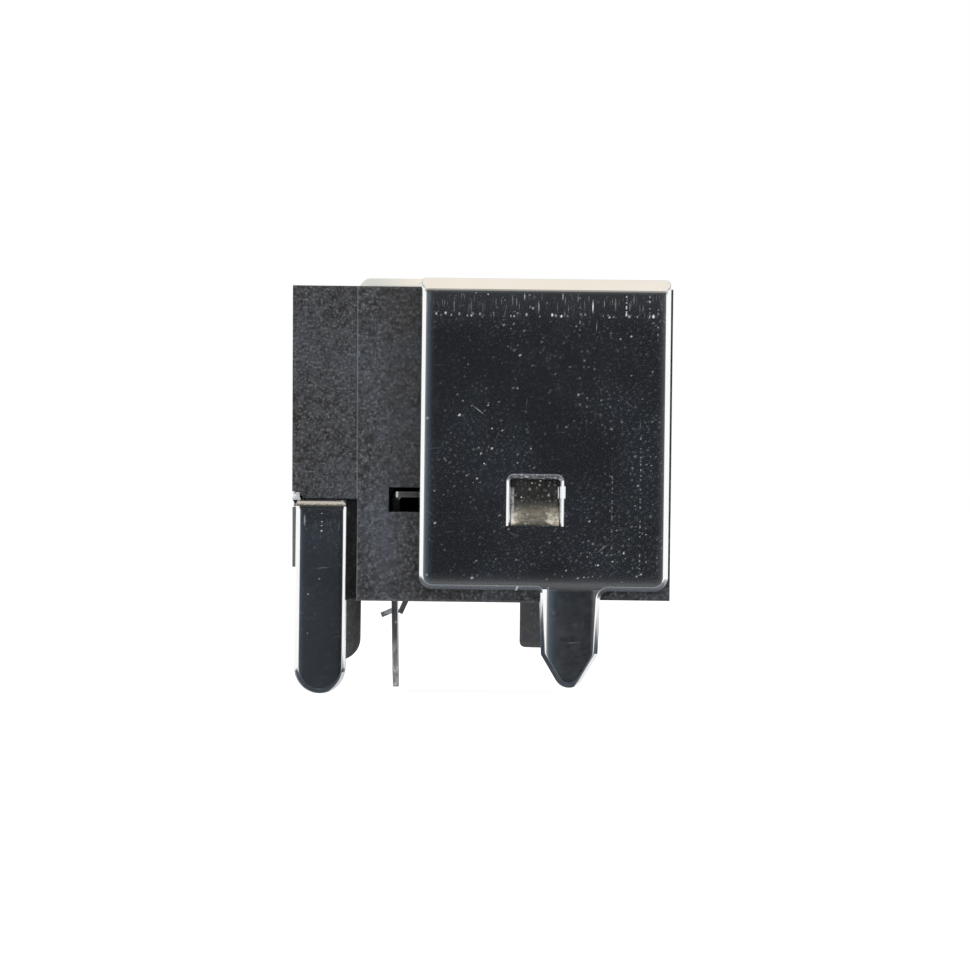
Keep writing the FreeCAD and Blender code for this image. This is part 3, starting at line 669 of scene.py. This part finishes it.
def addTab(shell, z, sign):
    # The middle line of a lanced tab, first its low bend and then its high one
    t = tabSize
    y = z["side"] + z["thickness"] / 2 + t["skin"]
    slope = math.atan2(t["offset"], t["ramp"])
    corners = [(y, t["bend"], t["lowRadius"]), (y + t["offset"], t["bend"] + t["ramp"], t["highRadius"])]
    line = [(Vector((y, t["root"])), 0.0)]
    for index, (cy, cz, radius) in enumerate(corners):
        back = radius * math.tan(slope / 2)
        along = Vector((math.sin(slope), math.cos(slope))) if index else Vector((0, 1))
        start = Vector((cy, cz)) - back * along
        for step in range(t["steps"] + 1):
            turn = slope * step / t["steps"]
            if index:
                angle = slope - turn
                move = Vector((math.cos(angle) - math.cos(slope), math.sin(slope) - math.sin(angle)))
            else:
                angle = turn
                move = Vector((1 - math.cos(angle), math.sin(angle)))
            line.append((start + move * radius, angle))
    line.append((Vector((y + t["offset"], t["top"])), 0.0))
    # Its section, with the outer corners taken off
    edge = t["edge"]
    across = [(-t["half"], edge), (-t["half"] + edge * 0.3, edge * 0.3), (-t["half"] + edge, 0)]
    across += [(-a, b) for a, b in reversed(across)]
    rows = []
    for spot, angle in line:
        out = Vector((-math.cos(angle), math.sin(angle)))
        row = []
        for shift, sink in across:
            at = spot + out * (z["thickness"] / 2 - sink)
            row.append(shell.verts.new((z["windowX"] + shift, sign * at.x, at.y)))
        for shift in (t["half"], -t["half"]):
            at = spot - out * z["thickness"] / 2
            row.append(shell.verts.new((z["windowX"] + shift, sign * at.x, at.y)))
        rows.append(row)
    made = []
    for low, high in zip(rows, rows[1:]):
        for index in range(len(low)):
            other = (index + 1) % len(low)
            made.append(shell.faces.new([low[index], low[other], high[other], high[index]]))
    made.append(shell.faces.new(rows[0]))
    made.append(shell.faces.new(rows[-1]))
    for face in made:
        face.material_index = 1


legSize = {"middle": -5.59, "half": 0.9, "tip": -3.25, "side": -4.70, "thickness": 0.27,
           "bend": 0.3, "top": 3.54, "roll": 0.17, "reach": 0.9, "cut": -4.40, "back": -6.64,
           "sunk": 0.004, "corner": 0.22}


def terminalPiece():
    z = legSize
    bendStart = z["top"] - z["bend"]
    arc = z["bend"] * math.pi / 2
    high = bendStart + arc + z["reach"]
    left, right = z["middle"] - z["half"], z["middle"] + z["half"]
    full = z["half"] * 0.9999
    outline = rounded([(left, high, 0), (left, z["tip"], full), (right, z["tip"], full),
                       (right, high, 0)], 16)
    shell = bmesh.new()
    count = len(outline)
    plate(shell, [outline], [[(0, i) for i in range(count)]], z["thickness"], z["roll"], {(0, count - 1)})
    cutAcross(shell, bendStart, bendStart + arc, 8, 1)
    for vert in shell.verts:
        u, s, depth = vert.co
        y, height = overBend(s, depth, bendStart, z["bend"], z["side"], z["top"])
        vert.co = (u, y, height - (z["sunk"] if y > z["cut"] else 0))
    # Behind the cut it is a copy of the solid, with the same corner rounded
    rear = copyOf("centre_terminal")
    parts = rear.verts[:] + rear.edges[:] + rear.faces[:]
    cut = bmesh.ops.bisect_plane(rear, geom=parts, plane_co=(0, z["cut"], 0), plane_no=(0, 1, 0),
                                 dist=1e-5, clear_inner=True)
    rim = [e for e in cut["geom_cut"] if isinstance(e, bmesh.types.BMEdge)]
    bmesh.ops.holes_fill(rear, edges=rim)
    corner = [e for e in rear.edges
              if all(abs(v.co.x - z["back"]) < 0.01 and abs(v.co.y - z["cut"]) < 0.01 for v in e.verts)]
    bmesh.ops.recalc_face_normals(rear, faces=rear.faces)
    bmesh.ops.bevel(rear, geom=corner, offset=z["corner"], offset_type="OFFSET", affect="EDGES",
                    segments=6, profile=0.5, clamp_overlap=False, material=-1)
    spare = bpy.data.meshes.new("spare")
    rear.to_mesh(spare)
    rear.free()
    shell.from_mesh(spare)
    bpy.data.meshes.remove(spare)
    return place(shell, "terminalStrip", [materials["terminal"]], 24, "centre_terminal", "tinned_strip")


pinSize = {"axis": boreAxis, "tip": 5.6, "round": 0.45, "radius": 1.0, "collarFront": -3.6, "collar": 1.35,
           "collarEdge": 0.1, "collarBack": -4.38, "tail": 0.7, "flare": 1.0, "flareDepth": 0.16,
           "end": -6.64}


def pinPiece():
    z = pinSize
    profile = [(z["tip"], 0)]
    for step in range(9):
        turn = math.pi / 2 * step / 8
        profile.append((z["tip"] - z["round"] * (1 - math.cos(turn)),
                        z["radius"] - z["round"] * (1 - math.sin(turn))))
    profile += [(z["collarFront"], z["radius"]), (z["collarFront"], z["collar"] - z["collarEdge"]),
                (z["collarFront"] - z["collarEdge"], z["collar"]), (z["collarBack"], z["collar"]),
                (z["collarBack"], z["tail"]), (z["end"] + z["flareDepth"], z["tail"]),
                (z["end"], z["flare"]), (z["end"], 0)]
    shell = bmesh.new()
    verts = [shell.verts.new((x, 0, z["axis"] + r)) for x, r in profile]
    edges = [shell.edges.new(pair) for pair in zip(verts, verts[1:])]
    bmesh.ops.spin(shell, geom=verts + edges, cent=(0, 0, z["axis"]), axis=(1, 0, 0),
                   angle=2 * math.pi, steps=64, use_merge=True)
    bmesh.ops.remove_doubles(shell, verts=shell.verts, dist=1e-4)
    return place(shell, "pinRod", [materials["pin"]], 35, "centre_pin", "plated_pin")


place(copyOf("housing"), "housingBody", [materials["plastic"]], 42, "housing", "housing_plastic",
      wear=0.03)
place(copyOf("sleeve_contact"), "contactStrip", [materials["contact"]], 42, "sleeve_contact",
      "plated_spring", wear=0.01)
shieldPiece()
terminalPiece()
pinPiece()
print("pieces made")


# Camera
def lookFrom(place, target, rollDeg):
    forward = (target - place).normalized()
    roll = math.radians(rollDeg)
    right = forward.cross(Vector((-math.sin(roll), 0, math.cos(roll)))).normalized()
    up = right.cross(forward)
    turned = Matrix((right, up, -forward)).transposed().to_4x4()
    return Matrix.Translation(place) @ turned


view = {"place": (2.72, -254.6, 4.096), "target": (0.105, -4.6, 4.096), "roll": 0.7, "lens": 265.7}
camera = bpy.data.objects.new("camera", bpy.data.cameras.new("camera"))
camera.data.lens = view["lens"]
camera.data.sensor_width = 36
camera.data.clip_start = 0.01
camera.data.clip_end = 5
camera.matrix_world = lookFrom(Vector(view["place"]) * mm, Vector(view["target"]) * mm, view["roll"])
scene.collection.objects.link(camera)
scene.camera = camera


# Studio: white surroundings, a floor, and cards that only shiny surfaces see
studio = {"cream": (0.90, 0.83, 0.73), "ceiling": 0.35, "ringRadius": 0.62, "ringHeight": 0.28,
          "underFloor": -0.10, "underSize": 2.4, "flagY": -0.30, "flagSize": 0.345, "floorGap": 0.02,
          "floorSize": 3}


def creamGlow():
    tree = Tree("creamCard")
    light = tree.node("Emission", None, Color=(*studio["cream"], 1), Strength=1)
    return tree.finish(light.outputs[0])


def card(name, middle, facing, size, material):
    # A square card
    mesh = bpy.data.meshes.new(name)
    half = size / 2
    mesh.from_pydata([(-half, -half, 0), (half, -half, 0), (half, half, 0), (-half, half, 0)], [],
                     [(0, 1, 2, 3)])
    mesh.materials.append(material)
    panel = bpy.data.objects.new(name, mesh)
    panel.location = middle
    panel.rotation_euler = Vector(facing).to_track_quat("Z", "Y").to_euler()
    scene.collection.objects.link(panel)
    return panel


def onlyReflected(panel):
    panel.visible_camera = False
    panel.visible_diffuse = False
    panel.visible_transmission = False
    panel.visible_volume_scatter = False
    panel.visible_shadow = False


def makeFloor():
    tree = Tree("floor")
    path = tree.node("LightPath")
    shade = tree.node("BsdfDiffuse", None, Color=(0.35, 0.35, 0.35, 1))
    lift = tree.node("Emission", None, Color=(0.90, 0.90, 0.90, 1))
    seen = tree.node("AddShader", None, i0=shade.outputs[0], i1=lift.outputs[0])
    # Metal sees a dim ring close to the part, and past it what lies under the floor
    away = tree.away()
    tint = tree.mixed(tree.ramp(away, 0.009, 0.024), (0.050, 0.060, 0.075, 1), (0.22, 0.23, 0.24, 1))
    wide = tree.math("MULTIPLY_ADD", tree.math("ABSOLUTE", tree.y), -0.4, tree.math("ABSOLUTE", tree.x))
    beyond = tree.strongest(tree.ramp(away, 0.026, 0.05), tree.ramp(wide, 0.008, 0.014))
    dim = tree.node("Emission", None, Color=tint)
    clear = tree.node("BsdfTransparent")
    ring = tree.node("MixShader", None, i0=beyond, i1=dim.outputs[0], i2=clear.outputs[0])
    both = tree.node("MixShader", None, i0=path.outputs["Is Glossy Ray"], i1=seen.outputs[0],
                     i2=ring.outputs[0])
    level = cadLow.z - studio["floorGap"] * mm
    return card("floor", (0, 0, level), (0, 0, 1), studio["floorSize"], tree.finish(both.outputs[0]))


def flagGlow():
    # Dark in the middle, bluish to the left, greyer to the right and towards the top
    tree = Tree("darkFlag")
    x, y = tree.x, tree.y
    tint = tree.mixed(tree.ramp(x, 0.015, 0.10), (0.0160, 0.0175, 0.0205, 1), (0.070, 0.090, 0.115, 1))
    tint = tree.mixed(tree.ramp(x, 0.09, 0.172), tint, (0.27, 0.28, 0.29, 1))
    tint = tree.mixed(tree.ramp(x, -0.015, -0.10), tint, (0.060, 0.062, 0.066, 1))
    tint = tree.mixed(tree.ramp(x, -0.09, -0.172), tint, (0.22, 0.22, 0.22, 1))
    tint = tree.mixed(tree.ramp(y, 0.03, 0.10), tint, (0.060, 0.060, 0.060, 1))
    tint = tree.mixed(tree.ramp(y, 0.09, 0.172), tint, (0.40, 0.38, 0.35, 1))
    light = tree.node("Emission", None, Color=tint)
    return tree.finish(light.outputs[0])


def horizonRing():
    # Above the white horizon the surroundings fall to grey, then meet the warm ceiling
    tree = Tree("horizonRing")
    tint = tree.mixed(tree.ramp(tree.z, -0.14, -0.01), (1, 1, 1, 1), (0.46, 0.47, 0.49, 1))
    tint = tree.mixed(tree.ramp(tree.z, 0.04, 0.14), tint, (*studio["cream"], 1))
    light = tree.node("Emission", None, Color=tint)
    mesh = bpy.data.meshes.new("horizonRing")
    shell = bmesh.new()
    bmesh.ops.create_cone(shell, cap_ends=False, segments=48, radius1=studio["ringRadius"],
                          radius2=studio["ringRadius"], depth=studio["ringHeight"])
    shell.to_mesh(mesh)
    shell.free()
    mesh.materials.append(tree.finish(light.outputs[0]))
    ring = bpy.data.objects.new("horizonRing", mesh)
    ring.location = (0, 0, studio["ceiling"] - studio["ringHeight"] / 2)
    scene.collection.objects.link(ring)
    return ring


def underGlow():
    # What metal sees past the floor's clear part: grey when it looks steeply down, white far out
    tree = Tree("underGlow")
    tint = tree.mixed(tree.ramp(tree.away(), 0.22, 1.05), (0.33, 0.34, 0.36, 1), (1, 1, 1, 1))
    light = tree.node("Emission", None, Color=tint)
    return tree.finish(light.outputs[0])


makeFloor()
onlyReflected(horizonRing())
onlyReflected(card("underCard", (0, 0, studio["underFloor"]), (0, 0, 1), studio["underSize"], underGlow()))
onlyReflected(card("darkFlag", (0, studio["flagY"], 0), (0, 1, 0), studio["flagSize"], flagGlow()))
onlyReflected(card("creamCard", (0, 0, studio["ceiling"]), (0, 0, -1), 2 * studio["ringRadius"],
                   creamGlow()))

world = bpy.data.worlds.new("studio")
scene.world = world
world.use_nodes = True
sky = world.node_tree
sky.nodes.clear()
path = sky.nodes.new("ShaderNodeLightPath")
plain = sky.nodes.new("ShaderNodeBackground")
plain.inputs["Color"].default_value = (0.94, 0.97, 1.0, 1)
plain.inputs["Strength"].default_value = 0.6
white = sky.nodes.new("ShaderNodeBackground")
white.inputs["Color"].default_value = (1, 1, 1, 1)
either = sky.nodes.new("ShaderNodeMath")
either.operation = "MAXIMUM"
sky.links.new(path.outputs["Is Camera Ray"], either.inputs[0])
sky.links.new(path.outputs["Is Glossy Ray"], either.inputs[1])
mix = sky.nodes.new("ShaderNodeMixShader")
sky.links.new(either.outputs[0], mix.inputs[0])
sky.links.new(plain.outputs[0], mix.inputs[1])
sky.links.new(white.outputs[0], mix.inputs[2])
out = sky.nodes.new("ShaderNodeOutputWorld")
sky.links.new(mix.outputs[0], out.inputs["Surface"])


def softLight(name, place, target, size, power, colour):
    lamp = bpy.data.lights.new(name, "AREA")
    lamp.shape = "RECTANGLE"
    lamp.size = size[0]
    lamp.size_y = size[1]
    lamp.energy = power
    lamp.color = colour
    holder = bpy.data.objects.new(name, lamp)
    holder.location = place
    holder.rotation_euler = (Vector(target) - Vector(place)).to_track_quat("-Z", "Y").to_euler()
    holder.visible_camera = False
    holder.visible_glossy = False
    scene.collection.objects.link(holder)


softLight("topSoft", (0, -0.05, 0.5), (0, 0, 0), (0.5, 0.5), 1.2, (1.0, 0.98, 0.95))
softLight("leftSoft", (-0.4, -0.35, 0.2), (0, 0, 0), (0.4, 0.4), 1.0, (0.93, 0.97, 1.0))
softLight("rightSoft", (0.4, -0.35, 0.2), (0, 0, 0), (0.4, 0.4), 0.7, (1, 1, 1))

scene.view_settings.view_transform = "Standard"
print("studio made")
